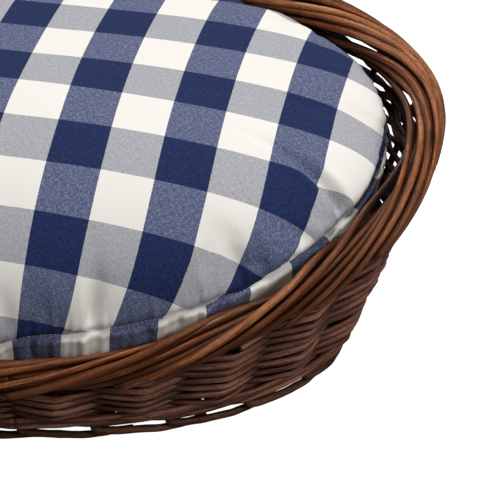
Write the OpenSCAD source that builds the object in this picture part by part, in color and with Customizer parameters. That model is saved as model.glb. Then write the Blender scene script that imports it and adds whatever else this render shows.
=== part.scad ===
// Oval wicker pet bed basket with a low front, a rolled border and a boxed cushion that lifts out.
// Millimetres. +X runs along the long axis, -Y is the low front, +Z is up.
// The origin is the centre of the bounding box, on the surface that the basket stands on.

/* [Border] */
// Half length of the oval that the border's centre line follows
rim_half_length = 307; // [280:1:330]
// Half width of that oval where the border has its full height
rim_half_width = 221; // [205:1:240]
// Height of the border's centre line at the back
back_height = 176; // [165:1:190]
// Height of the border's centre line at the middle of the front
front_height = 72; // [68:1:90]
// How far round from the middle of the front the border dips, in degrees
dip_reach = 100; // [85:1:120]
// Diameter of the bundle of rods inside the border
core_diameter = 19; // [17:0.5:20]
// Diameter of the rods rolled round the border
border_rod = 6.9; // [6:0.1:7.1]
// Length of border in which a rolled rod makes one full turn
roll_pitch = 440; // [400:10:520]

/* [Walls] */
// How far the full-height wall leans out between the foot and the border
flare = 59; // [45:1:65]
// Thickness of the woven wall
wall_thickness = 18; // [14:1:20]
// Number of side stakes, which is also the number of foot stakes
stakes = 24; // [20:2:28]
// Diameter of a side stake
stake_diameter = 6; // [5:0.5:7]
// Height of the band of waling at the bottom of the wall
wale_height = 16; // [12:1:20]

/* [Base] */
// Height of the foot border
foot_height = 9; // [8:1:12]
// Width of the foot border
foot_width = 10; // [8:1:14]
// Gap between the foot border and the waling
slot_height = 6; // [4:0.5:9]
// Thickness of the woven base
base_thickness = 11; // [10:0.5:13]
// Diameter of a base stick
stick_diameter = 8; // [6:0.5:9]
// Number of sticks along the base
long_sticks = 3; // [3:1:4]
// Number of sticks across the base
cross_sticks = 9; // [7:2:11]

/* [Cushion] */
// Height of the crest of the cushion
crest_height = 204; // [195:1:215]
// Width of the boxing strip between the two seams
boxing_width = 66; // [50:1:66]
// Thickness of the cover
cover_thickness = 1.2; // [0.8:0.1:2]
// Diameter of a line of seam stitching
seam_diameter = 1.8; // [1.4:0.1:2.4]

/* [Hidden] */

willow = "saddlebrown";
dark_willow = "sienna";
gingham = "steelblue";
plain_cloth = "whitesmoke";

foot_squareness = 2.39;            // exponent of the superellipse at the foot
rim_squareness = 2.05;             // and at the border, where it is almost an ellipse
wale_bottom = foot_height + slot_height;
wale_top = wale_bottom + wale_height;
base_top = wale_bottom + base_thickness;
gap = 0.2;                         // clearance between neighbours that only touch
steps = 72;                        // sections round a woven ring
cushion_steps = 48;                // sections round the cushion
rolled_rods = 2 * stakes;          // each side stake and the rod beside it end in the border
rod_sections = 9;                  // sections along one rolled rod
roll_from = -25;                   // a rolled rod starts here, inside and low (0 is inwards, 90 up)
roll_to = 205;                     // and ends here, outside and low
crest_shift = 12;                  // the cushion's crest lies this far behind the middle

// The front wall is lower, so it leans out less: this centres the bounding box on the origin.
centre_y = -flare * (1 - front_height / back_height) / 2;

// ---------- the basket's oval, at any height and any direction from its centre ----------

// Share of the full flare at a height
function lean(z) = z / back_height;

// Distance from the centre to the wall's middle surface, or to a surface offset outwards from it
function oval(phi, z, offset = 0) =
    let (n = foot_squareness + (rim_squareness - foot_squareness) * lean(z),
         a = rim_half_length - flare * (1 - lean(z)) + offset,
         b = rim_half_width - flare * (1 - lean(z)) + offset)
    pow(pow(abs(cos(phi)) / a, n) + pow(abs(sin(phi)) / b, n), -1 / n);

function on_oval(phi, z, offset = 0) =
    let (r = oval(phi, z, offset)) [r * cos(phi), centre_y + r * sin(phi), z];

// Angle round the oval from the middle of the front, 0 to 180
function from_front(phi) =
    let (turn = atan2(sin(phi) / rim_half_width, cos(phi) / rim_half_length) + 90)
    abs(turn > 180 ? turn - 360 : turn);

// 1 at the middle of the front, easing to 0 where the dip ends
function dip(phi) =
    let (d = from_front(phi)) d < dip_reach ? (1 + cos(180 * d / dip_reach)) / 2 : 0;

function border_height(phi) = back_height - (back_height - front_height) * dip(phi);

// Directions of points spaced evenly round the wall, with the first one "start" spacings from the front
walk = [for (i = 0, phi = -90, s = 0; i <= 720;
             s = s + norm(on_oval(phi + 0.5, 45) - on_oval(phi, 45)), phi = phi + 0.5, i = i + 1)
        [s, phi]];
walk_length = walk[720][0];
function spaced(count, start = 0) =
    [for (i = [0:count - 1]) lookup(walk_length * (i + start) / count, walk)];

// ---------- solids from sections ----------

// Triangles between section i and section j of a sweep whose sections have m points. The square
// between two neighbouring points is cut along one diagonal, or along the other if flip is true.
function band(i, j, m, flip = false) =
    [for (k = [0:m - 1], t = [0, 1])
        let (a = i * m + k, b = j * m + k, c = j * m + (k + 1) % m, d = i * m + (k + 1) % m)
        flip ? (t == 0 ? [a, b, c] : [a, c, d])
             : (t == 0 ? [a, b, d] : [b, c, d])];

// A ring through closed sections
module ring(sections) {
    n = len(sections);
    m = len(sections[0]);
    polyhedron([for (s = sections) each s], [for (i = [0:n - 1]) each band(i, (i + 1) % n, m)]);
}

// A bar through closed sections, with a flat cap on each end
module bar(sections, flip = false) {
    n = len(sections);
    m = len(sections[0]);
    polyhedron([for (s = sections) each s],
               concat([for (i = [0:n - 2]) each band(i, i + 1, m, flip)],
                      [[for (k = [0:m - 1]) k], [for (k = [m - 1:-1:0]) (n - 1) * m + k]]));
}

// A round rod between two points
module rod(from, to, d) {
    v = to - from;
    translate(from)
        rotate([0, acos(v.z / norm(v)), atan2(v.y, v.x)])
            cylinder(h = norm(v), d = d, $fn = 24);
}

// A woven band of the wall between two heights, which may depend on the direction
module wall_band(low, high) {
    half = wall_thickness / 2;
    ring([for (i = [0:steps - 1])
        let (phi = 360 * i / steps, a = low(phi), b = high(phi))
        [on_oval(phi, a, -half), on_oval(phi, b, -half), on_oval(phi, b, half), on_oval(phi, a, half)]]);
}

// The base's outline, for flat oval pieces
module oval_outline(z, offset) {
    polygon([for (i = [0:steps - 1])
        let (p = on_oval(360 * i / steps, z, offset)) [p.x, p.y]]);
}

// ---------- basket ----------

module foot_border() {
    color(dark_willow)
        linear_extrude(foot_height)
            difference() {
                oval_outline(0, foot_width / 2);
                oval_outline(0, -foot_width / 2);
            }
}

module foot_stakes() {
    color(dark_willow)
        for (phi = spaced(stakes))
            rod(on_oval(phi, 0) + [0, 0, foot_height / 2], on_oval(phi, wale_top - 4), stake_diameter);
}

stick_z = wale_bottom + base_thickness / 2;
stick_spread = 26;                 // between the sticks that run along the base
cross_spread = 38;                 // between those that run across it
stick_inset = wall_thickness / 2 + 12;

module long_base_sticks() {
    color(willow)
        for (i = [0:long_sticks - 1]) {
            y = (i - (long_sticks - 1) / 2) * stick_spread;
            reach = oval(0, wale_bottom, -stick_inset) - abs(y) / 4;
            rod([-reach, centre_y + y, stick_z], [reach, centre_y + y, stick_z], stick_diameter);
        }
}

module cross_base_sticks() {
    color(willow)
        for (i = [0:cross_sticks - 1]) {
            x = (i - (cross_sticks - 1) / 2) * cross_spread;
            reach = oval(90, wale_bottom, -stick_inset) * sqrt(1 - pow(x / rim_half_length, 2));
            rod([x, centre_y - reach, stick_z], [x, centre_y + reach, stick_z], stick_diameter);
        }
}

module base_weave() {
    color(willow)
        translate([0, 0, wale_bottom])
            linear_extrude(base_thickness)
                oval_outline(wale_bottom, -wall_thickness / 2 - gap);
}

module side_stakes() {
    color(willow)
        for (phi = spaced(stakes, 0.5))
            rod(on_oval(phi, wale_bottom + 2), on_oval(phi, border_height(phi)), stake_diameter);
}

module bottom_wale() {
    color(dark_willow)
        wall_band(function(phi) wale_bottom, function(phi) wale_top);
}

module side_weave() {
    color(willow)
        wall_band(function(phi) wale_top,
                  function(phi) border_height(phi) - core_diameter / 2 - gap);
}

// A point beside the border's centre line: 0 degrees is towards the middle of the basket, 90 is up
function round_border(phi, r, angle) =
    let (z = border_height(phi), p = on_oval(phi, z, -r * cos(angle)))
    [p.x, p.y, z + r * sin(angle)];

module border_core() {
    sides = 10;
    color(dark_willow)
        ring([for (i = [0:steps - 1])
            [for (k = [0:sides - 1]) round_border(360 * i / steps, core_diameter / 2, -360 * k / sides)]]);
}

// One rod, from inside and low, over the top, to its cut tip outside and low
module rolled_rod(start) {
    sides = 6;
    length = roll_pitch * (roll_to - roll_from) / 360;
    orbit = core_diameter / 2 + border_rod / 2 + gap;
    thickness = (border_rod - 2 * gap) / 2;
    bar([for (i = [0:rod_sections - 1])
        let (t = i / (rod_sections - 1),
             phi = lookup((start - length * t * 0.86 + 2 * walk_length) % walk_length, walk),
             angle = roll_from + (roll_to - roll_from) * t,
             taper = thickness * (1 - 0.15 * t))
        [for (k = [0:sides - 1])
            let (side = 360 * k / sides,
                 out = orbit + taper * cos(side),
                 swing = taper * sin(side) / orbit * 180 / PI)
            round_border(phi, out, angle + swing)]]);
}

module border_rods() {
    color(willow)
        for (i = [0:rolled_rods - 1])
            rolled_rod(walk_length * i / rolled_rods);
}

// ---------- cushion ----------

// 0 at the ends and the front, easing to 1 at the middle of the back, where the cushion is fullest
function back_share(phi) = pow(max(0, sin(phi)), 0.7);

// Height of the top seam: it follows the border, and stands clear of it at the low front
function seam_height(phi) = border_height(phi) - 18 + 46 * dip(phi) + 22 * back_share(phi);

// The cushion's section in one direction. Each entry is the distance from the centre, the height
// and how far the outline is shifted back. inset moves the section inwards.
function flat_edge(phi, inset) = [oval(phi, base_top, -30) - inset, base_top + 0.5 + inset, 0];
function low_seam(phi, inset) =
    let (z = seam_height(phi) - boxing_width)
    [oval(phi, z, -wall_thickness / 2 - 4.5) - inset, max(z, base_top + 6) + inset / 4, 0];
function boxing_middle(phi, inset) =
    let (z = seam_height(phi) - 28) [oval(phi, z, -20.5) - inset, z, 0];
function high_seam(phi, inset) =
    [oval(phi, border_height(phi), -28 + 15 * dip(phi) + 8 * back_share(phi)) - inset,
     seam_height(phi) - inset / 4, 0];
function dome(phi, inset, share) =
    let (edge = high_seam(phi, inset),
         n = 2.1 + 0.9 * back_share(phi),
         rise = pow(1 - pow(share, n), 1 / n))
    [edge[0] * share, edge[1] + (crest_height - inset - edge[1]) * rise, crest_shift * (1 - share)];

function reversed(list) = [for (i = [len(list) - 1:-1:0]) list[i]];

function around(phi, entry) =
    [entry[0] * cos(phi), centre_y + entry[0] * sin(phi) + entry[2], entry[1]];

dome_shares = [0.985, 0.93, 0.82, 0.65, 0.4, 0.12];

// A cover panel: outer and inner lines of the section, swept round as a ring
module panel_ring(outer, inner) {
    ring([for (i = [0:cushion_steps - 1])
        let (phi = 360 * i / cushion_steps, out = outer(phi), back = inner(phi))
        [for (p = concat(out, reversed(back))) around(phi, p)]]);
}

// A closed shape through stacked outlines, with a flat top and bottom. A panel is flipped, so that
// the facets of its inner side match those of the filling.
module stack(profile, flip = false) {
    bar([for (k = [0:len(profile(0)) - 1])
        [for (i = [cushion_steps - 1:-1:0])
            let (phi = 360 * i / cushion_steps) around(phi, profile(phi)[k])]], flip);
}

module cushion_filling() {
    inset = cover_thickness + 0.6;
    color(plain_cloth)
        stack(function(phi) [flat_edge(phi, inset), low_seam(phi, inset), boxing_middle(phi, inset),
                             high_seam(phi, inset), for (s = dome_shares) dome(phi, inset, s)]);
}

module top_panel() {
    inside = function(phi) [high_seam(phi, cover_thickness),
                            for (s = dome_shares) dome(phi, cover_thickness, s)];
    outside = function(phi) [high_seam(phi, 0), for (s = dome_shares) dome(phi, 0, s)];
    color(gingham)
        stack(function(phi) concat(reversed(inside(phi)), outside(phi)), flip = true);
}

module boxing_strip() {
    color(gingham)
        panel_ring(function(phi) [low_seam(phi, 0), boxing_middle(phi, 0), high_seam(phi, 0)],
                   function(phi) [low_seam(phi, cover_thickness), boxing_middle(phi, cover_thickness),
                                  high_seam(phi, cover_thickness)]);
}

module bottom_panel() {
    color(plain_cloth)
        stack(function(phi) [flat_edge(phi, 0), low_seam(phi, 0),
                             low_seam(phi, cover_thickness), flat_edge(phi, cover_thickness)],
              flip = true);
}

// A line of stitching that stands just outside the cover
module seam_line(edge) {
    sides = 6;
    r = seam_diameter / 2;
    ring([for (i = [0:cushion_steps - 1])
        let (phi = 360 * i / cushion_steps, e = edge(phi))
        [for (k = [0:sides - 1])
            around(phi, [e[0] + r + 0.1 + r * cos(-360 * k / sides),
                         e[1] + r * sin(-360 * k / sides), 0])]]);
}

module top_seam() {
    color(gingham)
        seam_line(function(phi) high_seam(phi, 0));
}

module bottom_seam() {
    color(plain_cloth)
        seam_line(function(phi) low_seam(phi, 0));
}

foot_border();
foot_stakes();
long_base_sticks();
cross_base_sticks();
base_weave();
side_stakes();
bottom_wale();
side_weave();
border_core();
border_rods();
cushion_filling();
top_panel();
boxing_strip();
bottom_panel();
top_seam();
bottom_seam();
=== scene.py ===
import math

import bpy
import numpy as np
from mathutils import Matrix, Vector


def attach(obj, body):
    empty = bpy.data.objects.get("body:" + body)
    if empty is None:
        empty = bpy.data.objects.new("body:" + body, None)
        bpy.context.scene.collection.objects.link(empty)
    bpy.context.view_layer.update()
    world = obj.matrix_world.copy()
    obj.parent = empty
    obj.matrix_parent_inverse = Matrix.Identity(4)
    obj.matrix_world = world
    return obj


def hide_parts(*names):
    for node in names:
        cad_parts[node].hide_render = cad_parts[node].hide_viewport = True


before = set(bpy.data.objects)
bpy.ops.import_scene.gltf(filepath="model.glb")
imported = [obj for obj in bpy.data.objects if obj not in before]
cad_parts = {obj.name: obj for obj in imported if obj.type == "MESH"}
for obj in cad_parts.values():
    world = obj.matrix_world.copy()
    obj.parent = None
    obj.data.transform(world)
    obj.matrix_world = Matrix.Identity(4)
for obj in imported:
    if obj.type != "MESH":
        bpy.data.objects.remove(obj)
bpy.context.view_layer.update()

random = np.random.default_rng(41)

# ---------- sizes, in metres, as in part.scad ----------

RIM_HALF_LENGTH, RIM_HALF_WIDTH = 0.307, 0.221
BACK_HEIGHT, FRONT_HEIGHT = 0.176, 0.072
FLARE = 0.059
DIP_REACH = 100
FOOT_SQUARENESS, RIM_SQUARENESS = 2.39, 2.05
STAKES = 24
CORE_RADIUS = 0.0095
WALE_BOTTOM, WALE_TOP, BASE_TOP = 0.015, 0.031, 0.026
WALL_HALF = 0.009
CENTRE_Y = -FLARE * (1 - FRONT_HEIGHT / BACK_HEIGHT) / 2
CREST_HEIGHT, CREST_SHIFT = 0.204, 0.012
BOXING_WIDTH = 0.066
ROLL_ADVANCE = 0.440           # along the border in one full roll round it, before it is shortened
ROLL_START = 0.06              # how far along from its own place a rod comes up under the border
OPEN_FROM, OPEN_TO = -16, 24   # degrees: the right-hand end, where the border is open as in the photo
STICK_SPACING_LONG, STICK_SPACING_CROSS = 0.026, 0.038
LONG_STICKS, CROSS_STICKS = 3, 9


# ---------- camera ----------

def make_camera():
    turn, lift, distance = math.radians(0.1), math.radians(36.8), 2.1
    target = Vector((0.166, CENTRE_Y - 0.026, 0.080))
    back = Vector((math.sin(turn) * math.cos(lift), -math.cos(turn) * math.cos(lift), math.sin(lift)))
    data = bpy.data.cameras.new("camera")
    data.lens = 204.75
    data.sensor_width = 36
    data.clip_end = 30
    camera = bpy.data.objects.new("camera", data)
    bpy.context.scene.collection.objects.link(camera)
    camera.location = target + distance * back
    camera.rotation_euler = back.to_track_quat("Z", "Y").to_euler()
    bpy.context.scene.camera = camera


make_camera()


# ---------- the basket's oval ----------

def oval(phi, z, offset=0.0):
    """Distance from the centre to the wall's middle surface, moved outwards by offset."""
    lean = z / BACK_HEIGHT
    n = FOOT_SQUARENESS + (RIM_SQUARENESS - FOOT_SQUARENESS) * lean
    a = RIM_HALF_LENGTH - FLARE * (1 - lean) + offset
    b = RIM_HALF_WIDTH - FLARE * (1 - lean) + offset
    return (np.abs(np.cos(phi) / a) ** n + np.abs(np.sin(phi) / b) ** n) ** (-1 / n)


def around(phi, r, z, back=0.0):
    """Points at distance r from the basket's centre line."""
    return np.stack([r * np.cos(phi), CENTRE_Y + r * np.sin(phi) + back, z + 0 * phi], -1)


def on_oval(phi, z, offset=0.0):
    return around(phi, oval(phi, z, offset), z)


def degrees_from_front(phi):
    """How far round the rim's oval a direction is from the middle of the front, either way."""
    turn = np.degrees(np.arctan2(np.sin(phi) / RIM_HALF_WIDTH, np.cos(phi) / RIM_HALF_LENGTH)) + 90
    return np.abs((turn + 180) % 360 - 180)


def dip(phi):
    """1 at the middle of the front, easing to 0 where the dip of the border ends."""
    d = degrees_from_front(phi)
    return np.where(d < DIP_REACH, (1 + np.cos(np.pi * d / DIP_REACH)) / 2, 0)


def border_height(phi):
    return BACK_HEIGHT - (BACK_HEIGHT - FRONT_HEIGHT) * dip(phi)


walk_phi = np.radians(np.arange(-90, 270.01, 0.5))
walk_at = on_oval(walk_phi, 0.045)
walk_s = np.concatenate([[0], np.cumsum(np.linalg.norm(np.diff(walk_at, axis=0), axis=1))])
WALK = walk_s[-1]
SPAN = WALK / STAKES


def direction(s):
    """Direction from the centre of a point s along the wall, from the middle of the front."""
    turns = np.floor(s / WALK)
    return np.interp(s - turns * WALK, walk_s, walk_phi) + 2 * np.pi * turns


def round_border(phi, r, angle):
    """A point beside the border's centre line: angle 0 is inwards, a quarter turn is up."""
    z = border_height(phi)
    p = on_oval(phi, z, -r * np.cos(angle))
    p[..., 2] = z + r * np.sin(angle)
    return p


def smooth_noise(x, period, rng):
    """A slow wobble of about -1 to 1."""
    a, b, c = rng.uniform(0, 2 * np.pi, 3)
    w = 2 * np.pi / period
    return (np.sin(w * x + a) + 0.6 * np.sin(2.3 * w * x + b) + 0.4 * np.sin(4.1 * w * x + c)) / 1.6


# ---------- rods ----------

def make_mesh(name, points, faces, smooth=None):
    mesh = bpy.data.meshes.new(name)
    mesh.from_pydata(points.tolist(), [], faces)
    if smooth is None:
        smooth = np.ones(len(faces), bool)
    mesh.polygons.foreach_set("use_smooth", smooth)
    mesh.update()
    piece = bpy.data.objects.new(name, mesh)
    bpy.context.scene.collection.objects.link(piece)
    return piece


def add_attribute(piece, name, kind, values):
    attribute = piece.data.attributes.new(name, kind, "POINT")
    key = "vector" if kind == "FLOAT_VECTOR" else "value"
    attribute.data.foreach_set(key, np.asarray(values, np.float32).ravel())


def rod(path, radius, up, tone, painted_light=0.5, slant=0.0, front=90):
    """One rod: its path, its radius and a direction across it, each for every point, and its finish.
    tone is the rod's own shade of colour; the argument after it is painted light and shade at each point,
    low in painted shade and high where painted lit; slant is how obliquely its end is cut, and front the
    turn, in degrees, from its side to the face that is painted lit."""
    n = len(path)
    return {"path": path, "radius": np.full(n, radius) if np.isscalar(radius) else radius,
            "up": np.broadcast_to(up, (n, 3)), "tone": tone,
            "painted_light": np.full(n, painted_light) if np.isscalar(painted_light) else painted_light, "slant": slant,
            "front": math.radians(front)}


def unit(v):
    return v / np.maximum(np.linalg.norm(v, axis=-1, keepdims=True), 1e-12)


def rods_piece(name, rods, sides=8):
    """One piece from many rods, each a closed tube. Its attributes hold the grain along each rod, its tone,
    and the painted light and shade at each point.
    """
    points, faces, flat, grain, tone, painted_light = [], [], [], [], [], []
    angle = 2 * np.pi * np.arange(sides) / sides
    k = np.arange(sides)
    start = 0
    for r in rods:
        n = len(r["path"])
        tangent = unit(np.gradient(r["path"], axis=0))
        side = unit(np.cross(tangent, r["up"]))
        top = np.cross(side, tangent)
        across = np.cos(angle)[None, :, None] * side[:, None] + np.sin(angle)[None, :, None] * top[:, None]
        ring = r["path"][:, None] + r["radius"][:, None, None] * across
        if r["slant"]:
            ring[-1] += r["slant"] * r["radius"][-1] * np.sin(angle)[:, None] * tangent[-1]
        points.append(ring.reshape(-1, 3))
        first = start + (np.arange(n - 1) * sides)[:, None]
        a, b = first + k, first + (k + 1) % sides
        faces += np.stack([a, a + sides, b + sides, b], -1).reshape(-1, 4).tolist()
        faces.append((start + k).tolist())
        faces.append((start + (n - 1) * sides + k[::-1]).tolist())
        flat += [len(faces) - 2, len(faces) - 1]
        along = np.concatenate([[0], np.cumsum(np.linalg.norm(np.diff(r["path"], axis=0), axis=1))])
        place = random.uniform(-5, 5, 3)
        g = np.zeros((n, sides, 3))
        g[..., 0] = along[:, None] + place[0]
        g[..., 1] = r["radius"][:, None] * np.cos(angle) + place[1]
        g[..., 2] = r["radius"][:, None] * np.sin(angle) + place[2]
        grain.append(g.reshape(-1, 3))
        tone.append(np.full(n * sides, r["tone"]))
        # painted shade round each rod: faces turned away from its front face are darkened as if in shade
        # between rods
        painted_face_light = 0.14 + 0.86 * np.clip(0.14 + np.cos(angle - r["front"]), 0, 1)
        painted_light.append((r["painted_light"][:, None] * painted_face_light).ravel())
        start += n * sides
    smooth = np.ones(len(faces), bool)
    smooth[flat] = False
    piece = make_mesh(name, np.concatenate(points), faces, smooth)
    add_attribute(piece, "grain", "FLOAT_VECTOR", np.concatenate(grain))
    add_attribute(piece, "tone", "FLOAT", np.concatenate(tone))
    add_attribute(piece, "painted_light", "FLOAT", np.concatenate(painted_light))
    return piece


def weave_wave(x, sharp=0.965):
    """A wave that runs nearly straight between its peaks and bends sharply at them, as a rod does."""
    return np.arcsin(sharp * np.sin(x)) / math.asin(sharp)


UP = np.array([0.0, 0.0, 1.0])


def foot_rods():
    """Each foot stake comes down from the wall, bends to the right and runs under the next one."""
    stations = np.array([0, 0.1, 0.2, 0.8, 3, 8, 18, 32, 46, 58, 68, 78, 88]) / 1000
    heights = np.array([30, 24, 16, 12.0, 9.6, 8.4, 7.2, 5.8, 4.5, 3.7, 3.4, 3.3, 3.3]) / 1000
    offsets = np.array([1.0, 1.2, 2.2, 3.4, 4.3, 4.8, 5.0, 4.9, 4.4, 3.4, 2.2, 1.2, 0.6]) / 1000
    t = np.arange(len(stations))
    fine = np.linspace(0, len(stations) - 1, 57)
    rods = []
    for i in range(STAKES):
        shift = random.uniform(-0.003, 0.003)
        s = np.interp(fine, t, stations) * random.uniform(0.94, 1.06)
        z = np.interp(fine, t, heights) + 0.0005 * smooth_noise(s, 0.07, random)
        off = np.interp(fine, t, offsets) + 0.0006 * smooth_noise(s, 0.06, random)
        phi = direction(i * SPAN + shift + s)
        path = relaxed(on_oval(phi, z, off), 3)
        radius = knobbly(s, np.linspace(0.0036, 0.0029, len(s)) * random.uniform(0.95, 1.04))
        path[:, 2] = np.maximum(path[:, 2], radius + 0.0001)
        # the last value is the level of painted light; lower gives more painted shade
        rods.append(rod(path, radius, unit(np.stack([np.cos(phi), np.sin(phi), 0.3 + 0 * phi], -1)),
                        random.uniform(0, 1), 0.45))
    return rods


def knobbly(s, radius):
    """A rod's radius along its length, a little uneven, with a few swollen nodes."""
    bump = 0.03 * smooth_noise(s, 0.09, random)
    for node in random.uniform(s[0], s[-1], max(1, int(abs(s[-1] - s[0]) / 0.16))):
        bump = bump + 0.09 * np.exp(-((s - node) / 0.004) ** 2)
    return radius * (1 + bump)


def relaxed(path, times):
    """A path with its corners eased."""
    for _ in range(times):
        path = path.copy()
        path[1:-1] = 0.25 * path[:-2] + 0.5 * path[1:-1] + 0.25 * path[2:]
    return path


def wale_rods():
    """Two rounds of three-rod waling: each rod passes outside two stakes and inside one."""
    rods = []
    for round_of, base in enumerate((WALE_BOTTOM + 0.0026, WALE_TOP - 0.0072)):
        for phase in range(3):
            s = np.linspace(0, WALK, STAKES * 12 + 1)
            t = (s / SPAN + 0.5 - phase - 1.5 * round_of) % 3
            knots = np.array([-0.45, 0.0, 0.45, 1.0, 1.55, 2.0, 2.55, 3.0, 3.45])
            outs = np.array([-5.6, 0.8, 5.4, 6.4, 5.6, 0.8, -5.6, 0.8, 5.4]) / 1000
            lifts = np.array([0.8, 0.9, 1.2, 3.2, 5.2, 5.4, 2.0, 0.9, 1.2]) / 1000
            off = np.interp(t, knots, outs)
            z = base + np.interp(t, knots, lifts) + 0.0003 * smooth_noise(s, 0.15, random)
            off = off + 0.0004 * smooth_noise(s, 0.11, random)
            path = on_oval(direction(s), z, off)
            # painted shade: the rod is darker where it passes in behind the stakes and lighter where it
            # comes out
            painted_light = np.clip(0.5 + off / 0.013, 0, 1)
            rods.append(rod(path, knobbly(s, 0.00255 + 0 * s), UP, random.uniform(0, 1), painted_light, front=20))
    return rods


def wall_rod(low, high, row, z_row, swell):
    """One tapering rod of a row, swell being how far it swings out and in round the stakes."""
    x = np.linspace(low, high, max(8, int((high - low) / SPAN * 14)))
    swing = weave_wave(np.pi * (x / SPAN + row), 0.992)
    thick = knobbly(x, np.linspace(0.0025, 0.0019, len(x)) * random.uniform(0.88, 1.12))
    off = 0.0010 + swell * swing + 0.0006 * smooth_noise(x, 0.21, random)
    z = z_row + 0.0012 * smooth_noise(x, 0.26, random) + 0.0005 * smooth_noise(x, 0.07, random)
    # painted shade: darker where the rod swings in behind a stake, lighter where it swings out
    painted_light = np.clip(0.25 + 0.75 * swing, 0, 1)
    return rod(on_oval(direction(x), z, off), thick, UP, random.uniform(0, 1), painted_light, front=20)


def wall_rods():
    """Rows of the wall. Neighbouring rows pass on opposite sides of each stake, and the rows are cut
    by the dip of the border. Each row is several tapering rods whose ends lie inside the wall."""
    rods = []
    z_row = WALE_TOP + 0.0012
    row = 0
    s = np.linspace(0, WALK, STAKES * 12 + 1)[:-1]
    height = border_height(direction(s))
    while z_row < BACK_HEIGHT - 0.0125:
        inside = z_row < height - 0.0120
        loose = np.clip((z_row - 0.085) / 0.05, 0, 1)
        if inside.all():
            begin, end = 0.0, WALK + 0.3 * SPAN
        else:
            first = s[inside][0]
            begin, end = first - 0.012, WALK - first + 0.012
        cuts = [begin]
        while end - cuts[-1] > 16 * SPAN:
            k = math.floor((cuts[-1] / SPAN) + random.integers(9, 14))
            k += (k + row) % 2
            cuts.append((k + 0.5) * SPAN)
        cuts.append(end)
        for a, b in zip(cuts[:-1], cuts[1:]):
            low = a if a == begin else a - 0.012
            high = b if b == end else b + 0.010
            rods.append(wall_rod(low, high, row, z_row, 0.0086 * (1 - 0.30 * loose)))
        z_row += (0.0042 + 0.0014 * loose) * (1 + 0.08 * random.standard_normal())
        row += 1
    return rods


def stake_rods():
    """The side stakes, from the edge of the base up into the border."""
    rods = []
    for i in range(STAKES):
        phi = direction(np.array((i + 0.5) * SPAN))
        z = np.linspace(WALE_BOTTOM + 0.002, float(border_height(phi)) - 0.004, 14)
        path = on_oval(phi + 0 * z, z, 0.0003 * smooth_noise(z, 0.08, random))
        tangent = unit(np.array([-np.sin(phi), np.cos(phi), 0]))
        # the last value is a low level of painted light, darkening the stakes as painted shade
        rods.append(rod(path, np.linspace(0.0031, 0.0027, 14), tangent, random.uniform(0, 1), 0.3))
    return rods


def rolled_rods():
    """Each stake rises out of the wall under the border, rolls over it and ends in a slanted tip. At the
    right-hand end some are missing, and others first run loosely along the inside of the wall."""
    count = 2 * STAKES
    rods = []
    for i in range(count):
        t = np.linspace(0, 1, 60)
        start = WALK * (i + random.uniform(-0.22, 0.22)) / count
        first = -82 + random.uniform(-8, 8)
        late = OPEN_FROM < np.degrees(direction(start + ROLL_START)) < OPEN_TO
        if late and i % 2:
            continue
        last = 205 + random.uniform(-16, 12)
        length = ROLL_ADVANCE / 360 * (last - first) * 0.86 * random.uniform(0.93, 1.10)
        wobble = 5.0 * smooth_noise(t, 1.1, random) * np.sin(np.pi * t)
        rise = np.clip(t / 0.62, 0, 1)
        low = 1 - rise ** 2 * (3 - 2 * rise) if late else 0 * t
        angle = np.radians((first + (last - first) * t + wobble) * (1 - low) - 66 * low)
        s = start + ROLL_START - length * t
        thick = random.choice([0.0027, 0.0031, 0.0034, 0.0036]) * (1 - 0.14 * t)
        layer = random.choice([-0.0004, 0.0004, 0.0018]) + 0.0008 * smooth_noise(t, 0.8, random)
        phi = direction(s)
        loose = random.uniform(0.004, 0.016) * low
        path = round_border(phi, CORE_RADIUS + 0.0032 + layer + loose, angle)
        tail_phi = direction(s[0] + np.array([0.020, 0.012, 0.005]))
        drop = np.array([0.0215, 0.0180, 0.0150]) + loose[0]
        tail = on_oval(tail_phi, border_height(tail_phi) - drop, -0.0012 - 0.3 * loose[0])
        path = relaxed(np.concatenate([tail, path]), 4)
        centre = round_border(np.concatenate([tail_phi, phi]), 0.0, 0.0)
        radius = knobbly(np.linspace(0, length, len(path)), np.concatenate([np.full(3, thick[0]), thick]))
        # painted light: a border rod is paler where it lies on top of the border
        painted_light = 0.48 + 0.52 * np.clip(np.sin(angle), 0, 1)
        # painted shade: the tails under the border are dark, the loose rods inside the right-hand end are
        # painted lit, and the border is darker towards its low front
        painted_light = np.concatenate([np.full(3, 0.2), np.maximum(painted_light, 0.95 * low) * (1 - 0.22 * dip(phi))])
        rods.append(rod(path, radius, unit(path - centre), random.uniform(0, 1), painted_light, slant=-1.6))
    return rods


def bundle_rods():
    """Bent stake ends inside the border, seen between the rolled rods."""
    rods = []
    for j in range(7):
        s = np.linspace(0, WALK, 361)
        twist = 2 * np.pi * (j / 6 - 5 * s / WALK)
        r = 0.0058 + 0.0006 * smooth_noise(s, 0.23, random) if j < 6 else 0.0008 + 0 * s
        path = round_border(direction(s), r, twist)
        centre = round_border(direction(s), 0.0, 0.0)
        out = np.stack([np.cos(direction(s)), np.sin(direction(s)), 0.4 + 0 * s], -1)
        end = np.clip(np.cos(direction(s) - np.radians(12)), 0, 1)[:, None] ** 8
        path, centre = path + 0.0036 * end * out, centre + 0.0036 * end * out
        radius = 0.0033 - 0.0005 * end[:, 0]
        # the last value is the level of painted light; lower gives more painted shade
        rods.append(rod(path, radius, unit(path - centre + 1e-6), random.uniform(0, 1), 0.46))
    return rods


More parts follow.
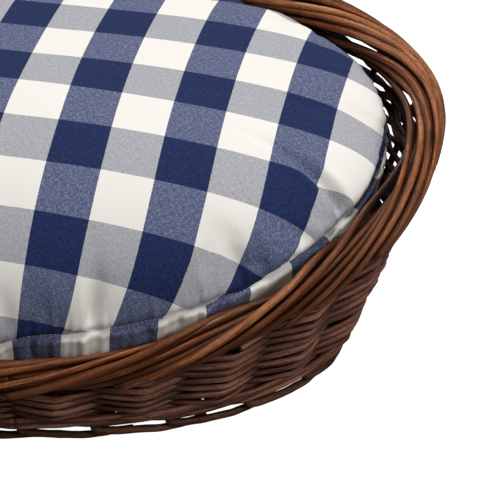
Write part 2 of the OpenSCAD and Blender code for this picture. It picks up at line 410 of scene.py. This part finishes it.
def crossings(ring):
    """Where a ring of the base crosses the base's sticks, as places along the ring in order."""
    found = []
    x, y = ring[:, 0], ring[:, 1] - CENTRE_Y
    for stick in (np.arange(CROSS_STICKS) - CROSS_STICKS // 2) * STICK_SPACING_CROSS:
        found += list(np.nonzero(np.diff(np.sign(x - stick)))[0] + 0.5)
    for stick in (np.arange(LONG_STICKS) - LONG_STICKS // 2) * STICK_SPACING_LONG:
        found += list(np.nonzero(np.diff(np.sign(y - stick - 1e-5)))[0] + 0.5)
    return np.sort(found)


def base_rods():
    """Rings of the base, woven over and under its sticks."""
    rods = []
    middle = (WALE_BOTTOM + BASE_TOP) / 2
    for k in range(23):
        phi = np.linspace(-np.pi / 2, 3 * np.pi / 2, 289)
        ring = on_oval(phi, WALE_BOTTOM, -0.0125 - 0.0054 * k)
        places = crossings(ring)
        phase = np.interp(np.arange(len(phi)), places, np.arange(len(places)) * np.pi)
        ring[:, 2] = middle + 0.0042 * weave_wave(phase + np.pi / 2 + np.pi * k, 0.9)
        # the last value is the level of painted light; lower gives more painted shade
        rods.append(rod(ring, 0.0024, UP, random.uniform(0, 1), 0.4))
    return rods


def stick_rods(count, spread, along_x):
    """The base's sticks, one way or the other. A stick tapers a little from its butt."""
    rods = []
    middle = (WALE_BOTTOM + BASE_TOP) / 2
    for i in range(count):
        at = (i - (count - 1) / 2) * spread
        inset = WALL_HALF + 0.012
        if along_x:
            reach = float(oval(np.array(0.0), WALE_BOTTOM, -inset)) - abs(at) / 4
        else:
            reach = float(oval(np.array(np.pi / 2), WALE_BOTTOM, -inset))
            reach *= math.sqrt(1 - (at / RIM_HALF_LENGTH) ** 2)
        t = np.linspace(-reach, reach, 30)
        bend = 0.0005 * smooth_noise(t, 0.2, random)
        if along_x:
            path = np.stack([t, CENTRE_Y + at + bend, middle + 0 * t], -1)
        else:
            path = np.stack([at + bend, CENTRE_Y + t, middle + 0 * t], -1)
        # the last value is a low level of painted light, darkening the sticks as painted shade
        rods.append(rod(path, np.linspace(0.0039, 0.0034, 30), UP, random.uniform(0, 1), 0.3))
    return rods


# ---------- materials ----------

def linear(r, g, b):
    """A colour given as it looks on a screen, 0 to 255, as the shader takes it."""
    c = np.array([r, g, b]) / 255
    c = np.where(c <= 0.04045, c / 12.92, ((c + 0.055) / 1.055) ** 2.4)
    return (*c.tolist(), 1.0)


class Material:
    """A node material with short ways to add and link nodes."""

    def __init__(self, name):
        self.material = bpy.data.materials.new(name)
        self.material.use_nodes = True
        self.tree = self.material.node_tree
        self.shader = self.tree.nodes["Principled BSDF"]

    def add(self, kind, inputs=None, **settings):
        node = self.tree.nodes.new(kind)
        for key, value in settings.items():
            setattr(node, key, value)
        for key, value in (inputs or {}).items():
            self.set(node.inputs[key], value)
        return node

    def set(self, socket, value):
        if isinstance(value, bpy.types.NodeSocket):
            self.tree.links.new(value, socket)
        else:
            socket.default_value = value

    def math(self, operation, a, b=0.0, clamp=False):
        return self.add("ShaderNodeMath", {0: a, 1: b}, operation=operation, use_clamp=clamp).outputs[0]

    def attribute(self, name, output="Fac"):
        return self.add("ShaderNodeAttribute", attribute_name=name).outputs[output]

    def scaled(self, vector, scale):
        return self.add("ShaderNodeMapping", {"Vector": vector, "Scale": scale}).outputs[0]

    def noise(self, vector, scale=1.0, detail=2.0, roughness=0.5):
        return self.add("ShaderNodeTexNoise", {"Vector": vector, "Scale": scale, "Detail": detail,
                                               "Roughness": roughness}).outputs["Fac"]

    def remap(self, value, low, high, to_low=0.0, to_high=1.0):
        return self.add("ShaderNodeMapRange", {"Value": value, "From Min": low, "From Max": high,
                                               "To Min": to_low, "To Max": to_high}).outputs[0]

    def mix(self, share, a, b, blend="MIX"):
        node = self.add("ShaderNodeMix", data_type="RGBA", blend_type=blend)
        for socket, value in zip((node.inputs[0], node.inputs[6], node.inputs[7]), (share, a, b)):
            self.set(socket, value)
        return node.outputs[2]

    def choose(self, share, a, b):
        return self.add("ShaderNodeMix", {0: share, 2: a, 3: b}, data_type="FLOAT").outputs[0]

    def bump(self, height, strength, distance, normal=None):
        inputs = {"Height": height, "Strength": strength, "Distance": distance}
        if normal is not None:
            inputs["Normal"] = normal
        return self.add("ShaderNodeBump", inputs).outputs[0]


def willow(name, dark, mid, light, roughness=0.42, shine=(255, 206, 168)):
    """Stained willow: long streaks, blotches of stain and small knots, with painted light on exposed ridges
    and painted shade on the sides that lie between rods.
    """
    m = Material(name)
    grain = m.attribute("grain", "Vector")
    tone = m.attribute("tone")
    painted_light = m.attribute("painted_light")
    streaks = m.noise(m.scaled(grain, (18, 700, 700)), 1.0, 4.0, 0.62)
    fine = m.noise(m.scaled(grain, (60, 2200, 2200)), 1.0, 2.0, 0.6)
    blotches = m.noise(m.scaled(grain, (34, 110, 110)), 1.0, 3.0, 0.6)
    specks = m.noise(m.scaled(grain, (360, 820, 820)), 1.0, 1.0)
    knots = m.noise(m.scaled(grain, (26, 190, 190)), 1.0, 0.0)
    shade = m.remap(streaks, 0.25, 0.75, -0.26, 0.26)
    shade = m.math("ADD", shade, m.remap(blotches, 0.25, 0.75, -0.15, 0.15))
    shade = m.math("ADD", shade, m.remap(fine, 0.3, 0.7, -0.16, 0.16))
    shade = m.math("ADD", shade, m.remap(tone, 0, 1, 0.34, 0.66))
    # painted light and shade: lit parts of a rod paler, shaded parts darker
    shade = m.math("ADD", shade, m.remap(painted_light, 0, 1, -0.24, 0.10), clamp=True)
    colour = m.mix(m.remap(shade, 0.10, 0.50), dark, mid)
    colour = m.mix(m.remap(shade, 0.50, 0.95), colour, light)
    # painted shade: near-black brown where a rod lies in shade between others
    colour = m.mix(m.remap(painted_light, 0.04, 0.46, 0.86, 0.0), colour, linear(26, 11, 6))
    colour = m.mix(m.remap(specks, 0.60, 0.68, 0.0, 0.6), colour, linear(34, 19, 12))
    colour = m.mix(m.remap(knots, 0.77, 0.80, 0.0, 0.8), colour, linear(28, 16, 10))
    m.set(m.shader.inputs["Base Color"], colour)
    m.set(m.shader.inputs["Roughness"], m.remap(streaks, 0.25, 0.75, roughness + 0.16, roughness - 0.08))
    height = m.math("ADD", streaks, m.math("MULTIPLY", fine, 0.5))
    height = m.math("ADD", height, m.math("MULTIPLY", blotches, 0.8))
    m.set(m.shader.inputs["Normal"], m.bump(height, 0.5, 0.0010))
    m.shader.inputs["Specular IOR Level"].default_value = 0.46
    m.shader.inputs["Specular Tint"].default_value = linear(*shine)
    return m.material


NAVY, WHITE = linear(17, 36, 80), linear(240, 236, 229)
MID_BLUE, LIGHT_GREY = linear(78, 87, 122), linear(168, 168, 173)
CHECK = 0.03962


def gingham(name):
    """Gingham cotton: four shades where coloured and white yarns cross, with the weave and its slubs."""
    m = Material(name)
    flat = m.add("ShaderNodeSeparateXYZ", {0: m.attribute("cloth", "Vector")})
    ring = m.add("ShaderNodeSeparateXYZ", {0: m.attribute("boxing", "Vector")})
    panel = m.attribute("panel")
    on_boxing = m.math("MULTIPLY", m.math("LESS_THAN", panel, 0.0),
                       m.math("GREATER_THAN", panel, -BOXING_WIDTH))

    warp_at, weft_at = flat.outputs[0], flat.outputs[1]
    turn = m.math("ARCTAN2", ring.outputs[1], ring.outputs[0])
    strip_at = m.math("MULTIPLY_ADD", turn, BOXING_BLOCKS / (2 * math.pi) * CHECK)
    strip_at.node.inputs[2].default_value = BOXING_START
    warp = m.choose(on_boxing, warp_at, strip_at)
    weft = m.choose(on_boxing, weft_at, ring.outputs[2])

    fibre = m.add("ShaderNodeCombineXYZ", {0: warp, 1: weft}).outputs[0]
    ragged = m.remap(m.noise(fibre, 900, 2.0), 0.3, 0.7, -0.00014, 0.00014)

    def stripes(at):
        place = m.math("FRACT", m.math("DIVIDE", m.math("ADD", at, ragged), 2 * CHECK))
        return m.math("GREATER_THAN", place, 0.5)

    warp_blue, weft_blue = stripes(warp), stripes(weft)
    white_warp = m.mix(weft_blue, WHITE, LIGHT_GREY)
    blue_warp = m.mix(weft_blue, MID_BLUE, NAVY)
    colour = m.mix(warp_blue, white_warp, blue_warp)

    warp_slubs = m.noise(m.scaled(fibre, (1900, 330, 1)), 1.0, 2.0)
    weft_slubs = m.noise(m.scaled(fibre, (330, 1900, 1)), 1.0, 2.0)
    heather = m.noise(fibre, 2100, 1.0)
    slubs = m.math("ADD", m.math("ADD", warp_slubs, weft_slubs), heather)
    mixed = m.math("ABSOLUTE", m.math("SUBTRACT", warp_blue, weft_blue))
    depth = m.remap(mixed, 0, 1, 0.06, 0.40)
    speckle = m.math("MULTIPLY", m.remap(slubs, 1.1, 1.9, -1, 1), depth)
    colour = m.mix(m.math("MAXIMUM", speckle, 0.0), colour, linear(236, 236, 240))
    colour = m.mix(m.math("MAXIMUM", m.math("MULTIPLY", speckle, -1.0), 0.0), colour, linear(44, 54, 96))
    m.set(m.shader.inputs["Base Color"], colour)

    rib = m.math("ADD", m.math("SINE", m.math("MULTIPLY", warp, 2 * math.pi / 0.0005)),
                 m.math("SINE", m.math("MULTIPLY", weft, 2 * math.pi / 0.0006)))
    height = m.math("ADD", m.math("MULTIPLY", rib, 0.12), slubs)
    crumple = m.noise(fibre, 55, 3.0)
    soft = m.bump(crumple, 0.15, 0.0016)
    m.set(m.shader.inputs["Normal"], m.bump(height, 0.22, 0.0002, soft))
    m.shader.inputs["Roughness"].default_value = 0.88
    m.shader.inputs["Specular IOR Level"].default_value = 0.14
    m.shader.inputs["Sheen Weight"].default_value = 0.05
    m.shader.inputs["Sheen Roughness"].default_value = 0.5
    return m.material


def thread(name):
    """Sewing thread, with its twist."""
    m = Material(name)
    place = m.add("ShaderNodeNewGeometry").outputs["Position"]
    twist = m.noise(place, 2600, 2.0)
    colour = m.mix(m.remap(twist, 0.3, 0.7), linear(160, 160, 170), linear(206, 204, 204))
    m.set(m.shader.inputs["Base Color"], colour)
    m.set(m.shader.inputs["Normal"], m.bump(twist, 0.4, 0.0002))
    m.shader.inputs["Roughness"].default_value = 0.7
    return m.material


# ---------- cushion ----------

def back_share(phi):
    return np.maximum(0, np.sin(phi)) ** 0.7


def flank(phi):
    """1 where the cushion is pushed up between the border's low front and its high end."""
    return np.exp(-((degrees_from_front(phi) - 62) / 24) ** 2)


def sag(phi):
    """1 in the one place at the front where the top seam has sunk."""
    turn = (np.degrees(phi) + 90 + 180) % 360 - 180
    return np.exp(-((turn + 6) / 9) ** 2)


def seam_height(phi):
    high = border_height(phi) - 0.018 + 0.046 * dip(phi) + 0.022 * back_share(phi)
    return high + 0.004 * flank(phi) - 0.009 * sag(phi)


def seam_reach(phi):
    """Distance of the top seam from the centre."""
    return oval(phi, border_height(phi), -0.028 + 0.015 * dip(phi) + 0.008 * back_share(phi))


def dome_section(phi, share):
    """Distance from the centre and height of the top panel, share being 0 at the crest, 1 at the seam."""
    n = 2.1 + 0.9 * back_share(phi)
    rise = np.maximum(0, 1 - share ** n) ** (1 / n)
    edge = seam_height(phi)
    return seam_reach(phi) * share, edge + (CREST_HEIGHT - edge) * rise


def bottom_section(phi, share):
    """The bottom panel: flat on the base, then up to the bottom seam."""
    low_z = np.maximum(seam_height(phi) - BOXING_WIDTH, BASE_TOP + 0.006)
    low_r = oval(phi, seam_height(phi) - BOXING_WIDTH, -WALL_HALF - 0.0045)
    flat_r = oval(phi, BASE_TOP, -0.030)
    slope = np.hypot(low_r - flat_r, low_z - BASE_TOP)
    at = share * (flat_r + slope)
    up = np.clip((at - flat_r) / slope, 0, 1)
    ease = up * up * (3 - 2 * up) * 0.5 + up * 0.5
    r = np.minimum(at, flat_r) + (low_r - flat_r) * up
    return r, BASE_TOP + 0.0005 + (low_z - BASE_TOP - 0.0005) * ease


def boxing_section(phi, share):
    """The boxing strip, share being 0 at the bottom seam and 1 at the top seam."""
    low_r, low_z = bottom_section(phi, np.ones_like(phi))
    high_z, high_r = seam_height(phi), seam_reach(phi)
    middle_r = oval(phi, high_z - 0.028, -0.0205)
    m = 0.576
    bulge = (middle_r - low_r * (1 - m) - high_r * m) / (m * (1 - m))
    r = low_r * (1 - share) + high_r * share + bulge * share * (1 - share)
    return r, low_z + (high_z - low_z) * share


def equal_shares(phi, radius, section):
    """Shares that space points along each section's length, closer near its outer end, and that length."""
    t = 1 - (1 - np.linspace(0, 1, 140)) ** 2.2
    r, z = section(phi[:, None], np.broadcast_to(t, (len(phi), len(t))))
    length = np.cumsum(np.hypot(np.diff(r, axis=1), np.diff(z, axis=1)), axis=1)
    length = np.concatenate([np.zeros((len(phi), 1)), length], 1)
    radius = 1 - (1 - radius) * (1 - 0.65 * np.exp(-((1 - radius) / 0.06) ** 2))
    share = np.array([np.interp(q * row[-1], row, t) for q, row in zip(radius, length)])
    return share, radius * length[:, -1], length[:, -1]


def disc_grid(n):
    """A square grid wrapped onto a disc, so that no point of it is crowded: radius and turn of each point,
    its square faces, and its edge in order of turn."""
    a, b = np.meshgrid(np.linspace(-1, 1, n + 1), np.linspace(-1, 1, n + 1), indexing="ij")
    wide = np.abs(a) >= np.abs(b)
    with np.errstate(divide="ignore", invalid="ignore"):
        turn = np.where(wide, np.pi / 4 * b / a, np.pi / 2 - np.pi / 4 * a / b)
    turn = np.nan_to_num(turn)
    r = np.where(wide, a, b)
    angle = np.arctan2(r * np.sin(turn), r * np.cos(turn)) % (2 * np.pi)
    index = np.arange((n + 1) ** 2).reshape(n + 1, n + 1)
    faces = np.stack([index[:-1, :-1], index[1:, :-1], index[1:, 1:], index[:-1, 1:]], -1).reshape(-1, 4)
    edge = np.concatenate([index[0], index[-1], index[1:-1, 0], index[1:-1, -1]])
    edge = edge[np.argsort(angle.ravel()[edge])]
    return np.abs(r).ravel(), angle.ravel(), faces, edge


SEAM_LENGTH = 1.507            # about the length of the top seam, which places the tucks
GRID = 88
BOXING_ROWS = 15
BOXING_BLOCKS = 42
BOXING_START = -0.002 + CHECK


def seam_arc():
    """Length along the top seam from the middle of the front, for each direction of the walk."""
    r = seam_reach(walk_phi)
    at = around(walk_phi, r, seam_height(walk_phi))
    return np.concatenate([[0], np.cumsum(np.linalg.norm(np.diff(at, axis=0), axis=1))])


def cushion_mesh():
    """The closed cover: top panel, boxing strip and bottom panel on one mesh, with the coordinates that
    its cloth was cut at."""
    radius, angle, grid_faces, edge = disc_grid(GRID)
    phi = direction(angle / (2 * np.pi) * WALK)
    arc = seam_arc()
    count = len(radius)

    def cloth_at(at, length):
        away = unit(at[:, :2] - np.array([0, CENTRE_Y + CREST_SHIFT]))
        lean = math.radians(-11.17)
        p = length * (away[:, 0] * math.cos(lean) + away[:, 1] * math.sin(lean))
        q = length * (-away[:, 0] * math.sin(lean) + away[:, 1] * math.cos(lean))
        return np.stack([p - 0.244 * q * q - 0.011 * q + 0.00025, q + 0.002 + CHECK, 0 * p], -1)

    share, length, total = equal_shares(phi, radius, dome_section)
    r, z = dome_section(phi, share)
    top = around(phi, r, z, CREST_SHIFT * (1 - share))
    top_cloth = cloth_at(top, length)
    top_panel = total - length

    share, length, total = equal_shares(phi, radius, bottom_section)
    r, z = bottom_section(phi, share)
    bottom = around(phi, r, z)
    bottom_cloth = cloth_at(bottom, length)
    bottom_panel = -BOXING_WIDTH - (total - length)

    ring_phi = phi[edge]
    rings = len(edge)
    sides, side_panel = [], []
    for j in range(1, BOXING_ROWS):
        t = np.full(rings, j / BOXING_ROWS - 0.08 * math.sin(2 * math.pi * j / BOXING_ROWS))
        r, z = boxing_section(ring_phi, t)
        sides.append(around(ring_phi, r, z))
        side_panel.append(-BOXING_WIDTH * (1 - t))
    levels = [count + edge]
    levels += [2 * count + (j - 1) * rings + np.arange(rings) for j in range(1, BOXING_ROWS)]
    levels.append(edge)
    faces = grid_faces.tolist() + (count + grid_faces[:, ::-1]).tolist()
    for low, high in zip(levels[:-1], levels[1:]):
        faces += np.stack([low, np.roll(low, -1), np.roll(high, -1), high], -1).tolist()

    points = np.concatenate([top, bottom, *sides])
    panel = np.concatenate([top_panel, bottom_panel, *side_panel])
    every_phi = np.concatenate([phi, phi, *[ring_phi] * (BOXING_ROWS - 1)])
    turn = np.interp((every_phi + np.pi / 2) % (2 * np.pi) - np.pi / 2, walk_phi, arc) / arc[-1] * 2 * np.pi
    cloth = np.concatenate([top_cloth, bottom_cloth, *[top_cloth[edge]] * (BOXING_ROWS - 1)])
    strip = np.stack([np.cos(turn), np.sin(turn), -panel - 0.036 + CHECK], -1)
    piece = make_mesh("cushion_cover", points, faces)
    add_attribute(piece, "cloth", "FLOAT_VECTOR", cloth)
    add_attribute(piece, "boxing", "FLOAT_VECTOR", strip)
    add_attribute(piece, "panel", "FLOAT", panel)
    held = piece.vertex_groups.new(name="held")
    held.add(np.concatenate([edge, count + edge]).tolist(), 1.0, "REPLACE")
    held.add((count + np.nonzero(radius < 0.86)[0]).tolist(), 1.0, "REPLACE")
    return piece


def coordinates(mesh):
    at = np.zeros(len(mesh.vertices) * 3)
    mesh.vertices.foreach_get("co", at)
    return at.reshape(-1, 3)


def attribute_values(mesh, name, size):
    values = np.zeros(len(mesh.vertices) * size, np.float32)
    mesh.attributes[name].data.foreach_get("vector" if size == 3 else "value", values)
    return values.reshape(-1, size)


def spread_out(mesh, values, times):
    """Values at the points of a mesh, averaged with their neighbours many times over."""
    pairs = np.zeros(len(mesh.edges) * 2, int)
    mesh.edges.foreach_get("vertices", pairs)
    a, b = pairs.reshape(-1, 2).T
    count = np.bincount(pairs, minlength=len(values))[:, None]
    for _ in range(times):
        total = [np.bincount(a, values[b, c], len(values)) + np.bincount(b, values[a, c], len(values))
                 for c in range(3)]
        values = 0.5 * values + 0.5 * np.stack(total, -1) / count
    return values


def inflate(piece, cap=0.016):
    """Blows the cover up as cloth, held at its seams. Most of the slow swell is taken off again, and
    no point moves further than cap."""
    before = coordinates(piece.data)
    cloth = piece.modifiers.new("Cloth", "CLOTH")
    settings = cloth.settings
    settings.quality = 6
    settings.mass = 0.25
    settings.tension_stiffness = settings.compression_stiffness = 18
    settings.shear_stiffness = 8
    settings.bending_stiffness = 0.4
    settings.use_pressure = True
    settings.uniform_pressure_force = 4
    settings.shrink_min = -0.035
    settings.vertex_group_mass = "held"
    settings.effector_weights.gravity = 0
    cloth.collision_settings.use_collision = False
    scene = bpy.context.scene
    for f in range(1, 21):
        scene.frame_set(f)
    result = piece.evaluated_get(bpy.context.evaluated_depsgraph_get())
    after = coordinates(result.data)
    piece.modifiers.remove(cloth)
    scene.frame_set(1)
    move = after - before
    move -= 0.85 * spread_out(piece.data, move, 120)
    panel = attribute_values(piece.data, "panel", 1)
    move *= np.where(panel > 0, 0.04 + 0.96 * np.exp(-(panel / 0.045) ** 2), 1)
    length = np.linalg.norm(move, axis=1, keepdims=True)
    move *= np.minimum(1, cap / np.maximum(length, 1e-9))
    piece.data.vertices.foreach_set("co", (before + move).ravel())
    piece.data.update()


def subdivided(mesh):
    """The mesh after one subdivision."""
    piece = bpy.data.objects.new("subdivided", mesh)
    bpy.context.scene.collection.objects.link(piece)
    modifier = piece.modifiers.new("Subdivision", "SUBSURF")
    modifier.levels = modifier.render_levels = 1
    bpy.context.view_layer.update()
    finer = bpy.data.meshes.new_from_object(piece.evaluated_get(bpy.context.evaluated_depsgraph_get()))
    bpy.data.objects.remove(piece)
    return finer


def subdivide(piece):
    """Subdivides the cover, and its flat cloth coordinates in the same way, to keep its checks straight."""
    flat = piece.data.copy()
    flat.vertices.foreach_set("co", attribute_values(piece.data, "cloth", 3).ravel())
    finer, finer_flat = subdivided(piece.data), subdivided(flat)
    finer.attributes["cloth"].data.foreach_set("vector", coordinates(finer_flat).astype(np.float32).ravel())
    piece.data = finer


def gather(piece):
    """Pulls the cloth in at both seams and puckers it beside them."""
    mesh = piece.data
    at = coordinates(mesh)
    normal = np.zeros(len(mesh.vertices) * 3)
    mesh.vertices.foreach_get("normal", normal)
    normal = normal.reshape(-1, 3)
    panel = attribute_values(mesh, "panel", 1)[:, 0]
    strip = attribute_values(mesh, "boxing", 3)
    along = np.arctan2(strip[:, 1], strip[:, 0]) / (2 * np.pi)
    rng = np.random.default_rng(7)
    folds = np.zeros(len(at))
    for count, size in ((38, 0.5), (61, 0.8), (89, 1.0), (127, 0.9), (211, 0.9)):
        wander = 2 * np.sin(2 * np.pi * 7 * along)
        folds += size * np.sin(2 * np.pi * count * along + rng.uniform(0, 6.3) + wander)
    patches = 0.55 + 0.45 * np.sin(2 * np.pi * 5 * along + 1.0) * np.sin(2 * np.pi * 9 * along)
    patches *= 0.35 + 0.65 * np.clip(0.5 + np.cos(2 * np.pi * along), 0, 1)
    for seam in (0.0, -BOXING_WIDTH):
        d = panel - seam
        pull = 0.0042 * np.exp(-((d - 0.0012) / 0.0030) ** 2) - 0.0006 * np.exp(-((d + 0.0045) / 0.003) ** 2)
        reach = np.where(d > 0, 0.017, 0.024)
        pucker = 0.0011 * folds * patches * np.exp(-np.abs(d) / reach) * (1 - np.exp(-(d / 0.003) ** 2))
        at = at + (pucker - pull)[:, None] * normal
    tucks = [(0.270, 0.0115, 0.060, 0.009), (0.057, 0.0062, 0.040, 0.008), (0.190, 0.0032, 0.030, 0.007)]
    tucks += [(0.33 + 0.083 * k + rng.uniform(-0.02, 0.02), rng.uniform(0.0012, 0.0034),
               rng.uniform(0.025, 0.05), rng.uniform(0.005, 0.008)) for k in range(13)]
    for place, depth, length, width in tucks:
        side = ((along - place / SEAM_LENGTH + 0.5) % 1 - 0.5) * SEAM_LENGTH - 0.25 * panel
        u = (side / width) ** 2
        fade = np.exp(-(panel / length) ** 2) * (1 - np.exp(-(np.maximum(panel, 0) / 0.008) ** 2))
        crease = depth * (1.3 * u - 1) * np.exp(-u) * fade
        at = at + crease[:, None] * normal
    mesh.vertices.foreach_set("co", at.ravel())
    mesh.update()


def keep_clear(piece):
    """Keeps the cushion clear of the wall and of the border, also while it is lifted out."""
    mesh = piece.data
    at = coordinates(mesh)
    x, y, z = at[:, 0], at[:, 1] - CENTRE_Y, at[:, 2]
    phi = np.arctan2(y, x)
    r = np.hypot(x, y)
    rim = border_height(phi)
    limit = np.where(z < rim + 0.004, np.minimum(oval(phi, np.minimum(z, rim), -WALL_HALF - 0.0022),
                                                 oval(phi, rim, -0.0180)), r)
    over = np.minimum(r, limit) / np.maximum(r, 1e-9)
    at[:, 0] *= over
    at[:, 1] = CENTRE_Y + y * over
    at[:, 2] = np.maximum(z, BASE_TOP + 0.0003)
    mesh.vertices.foreach_set("co", at.ravel())
    mesh.update()


def stitches(name, cover, level, pitch=0.0032):
    """Short stitches along a seam of the cover, as separate closed loops of thread."""
    mesh = cover.data
    at = coordinates(mesh)
    panel = attribute_values(mesh, "panel", 1)[:, 0]
    strip = attribute_values(mesh, "boxing", 3)
    near = np.abs(panel - level) < 0.0004
    turn = np.arctan2(strip[near, 1], strip[near, 0])
    order = np.argsort(turn)
    line = at[near][order]
    normal = np.zeros(len(mesh.vertices) * 3)
    mesh.vertices.foreach_get("normal", normal)
    out = normal.reshape(-1, 3)[near][order]
    line = np.concatenate([line, line[:1]])
    out = np.concatenate([out, out[:1]])
    s = np.concatenate([[0], np.cumsum(np.linalg.norm(np.diff(line, axis=0), axis=1))])
    rods = []
    for k in range(int(s[-1] / pitch)):
        x = (k + np.array([0.12, 0.22, 0.5, 0.78, 0.88])) * pitch
        lift = np.array([-0.0004, 0.0, 0.0001, 0.0, -0.0004])
        path = np.stack([np.interp(x, s, line[:, c]) for c in range(3)], -1)
        up = unit(np.stack([np.interp(x, s, out[:, c]) for c in range(3)], -1))
        rods.append(rod(path + lift[:, None] * up, 0.0002, up, 0.5))
    return rods_piece(name, rods, 5)


def make_cushion():
    cover = cushion_mesh()
    inflate(cover)
    subdivide(cover)
    gather(cover)
    keep_clear(cover)
    cover.vertex_groups.clear()
    return cover


# ---------- light and floor ----------

def make_floor():
    points = np.array([[-6, -6, 0], [6, -6, 0], [6, 6, 0], [-6, 6, 0]], float)
    floor = make_mesh("floor", points, [[0, 1, 2, 3]])
    m = Material("floor")
    m.shader.inputs["Base Color"].default_value = (0.22, 0.22, 0.22, 1)
    m.shader.inputs["Roughness"].default_value = 0.9
    glow = m.add("ShaderNodeEmission", {"Color": (1, 1, 1, 1), "Strength": 1.05})
    both = m.add("ShaderNodeAddShader", {0: m.shader.outputs[0], 1: glow.outputs[0]})
    seen = m.add("ShaderNodeLightPath").outputs["Is Camera Ray"]
    result = m.add("ShaderNodeMixShader", {0: seen, 1: m.shader.outputs[0], 2: both.outputs[0]})
    m.tree.links.new(result.outputs[0], m.tree.nodes["Material Output"].inputs["Surface"])
    floor.data.materials.append(m.material)


def area_light(name, place, target, size, power):
    data = bpy.data.lights.new(name, "AREA")
    data.shape = "RECTANGLE"
    data.size, data.size_y = size
    data.energy = power
    light = bpy.data.objects.new(name, data)
    light.location = place
    light.rotation_euler = (Vector(place) - Vector(target)).to_track_quat("Z", "Y").to_euler()
    bpy.context.scene.collection.objects.link(light)


def make_light():
    scene = bpy.context.scene
    scene.view_settings.view_transform = "Standard"
    world = bpy.data.worlds.new("studio")
    world.use_nodes = True
    world.node_tree.nodes["Background"].inputs[0].default_value = (1, 1, 1, 1)
    world.node_tree.nodes["Background"].inputs[1].default_value = 0.21
    scene.world = world
    area_light("top_light", (0.1, 0.15, 2.3), (0, 0, 0.1), (1.4, 1.1), 31.5)
    area_light("back_light", (-0.4, 2.2, 1.5), (0, 0, 0.1), (1.0, 0.7), 13)
    area_light("front_light", (2.0, -1.1, 1.5), (0.1, 0, 0.1), (0.8, 0.6), 23)


# ---------- everything together ----------

def finish_piece(piece, material, body, slot, *nodes):
    piece.data.materials.clear()
    piece.data.materials.append(material)
    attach(piece, body)
    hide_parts(*nodes)


def make_basket():
    border = willow("willow_border", linear(40, 18, 8), linear(114, 56, 25), linear(200, 138, 96), 0.36)
    weave = willow("willow_weave", linear(34, 16, 12), linear(98, 55, 43), linear(176, 124, 102),
                   shine=(255, 216, 196))
    foot = willow("willow_foot", linear(36, 18, 12), linear(88, 49, 33), linear(134, 88, 64))
    base = willow("willow_base", linear(60, 34, 22), linear(118, 74, 48), linear(164, 116, 82), 0.55)
    finish_piece(rods_piece("foot_rods", foot_rods()), foot, "basket", "willow_foot", "foot_border",
                 "foot_stakes")
    finish_piece(rods_piece("wale_rods", wale_rods()), weave, "basket", "willow_weave", "bottom_wale")
    finish_piece(rods_piece("wall_rods", wall_rods()), weave, "basket", "willow_weave", "side_weave")
    finish_piece(rods_piece("stake_rods", stake_rods()), weave, "basket", "willow_weave", "side_stakes")
    finish_piece(rods_piece("rolled_rods", rolled_rods(), 10), border, "basket", "willow_border",
                 "border_rods")
    finish_piece(rods_piece("bundle_rods", bundle_rods()), border, "basket", "willow_border", "border_core")
    finish_piece(rods_piece("base_rods", base_rods()), base, "basket", "willow_base", "base_weave")
    long_sticks = rods_piece("long_stick_rods", stick_rods(LONG_STICKS, STICK_SPACING_LONG, True))
    finish_piece(long_sticks, base, "basket", "willow_base", "long_base_sticks")
    cross_sticks = rods_piece("cross_stick_rods", stick_rods(CROSS_STICKS, STICK_SPACING_CROSS, False))
    finish_piece(cross_sticks, base, "basket", "willow_base", "cross_base_sticks")


def make_soft_goods():
    cotton = gingham("gingham_cotton")
    cover = make_cushion()
    finish_piece(cover, cotton, "cushion", "gingham_cotton", "cushion_filling", "top_panel", "boxing_strip",
                 "bottom_panel")
    thread_material = thread("sewing_thread")
    top = stitches("top_stitches", cover, 0.0)
    finish_piece(top, thread_material, "cushion", "sewing_thread", "top_seam")
    bottom = stitches("bottom_stitches", cover, -BOXING_WIDTH)
    finish_piece(bottom, thread_material, "cushion", "sewing_thread", "bottom_seam")


make_floor()
make_light()
make_basket()
make_soft_goods()
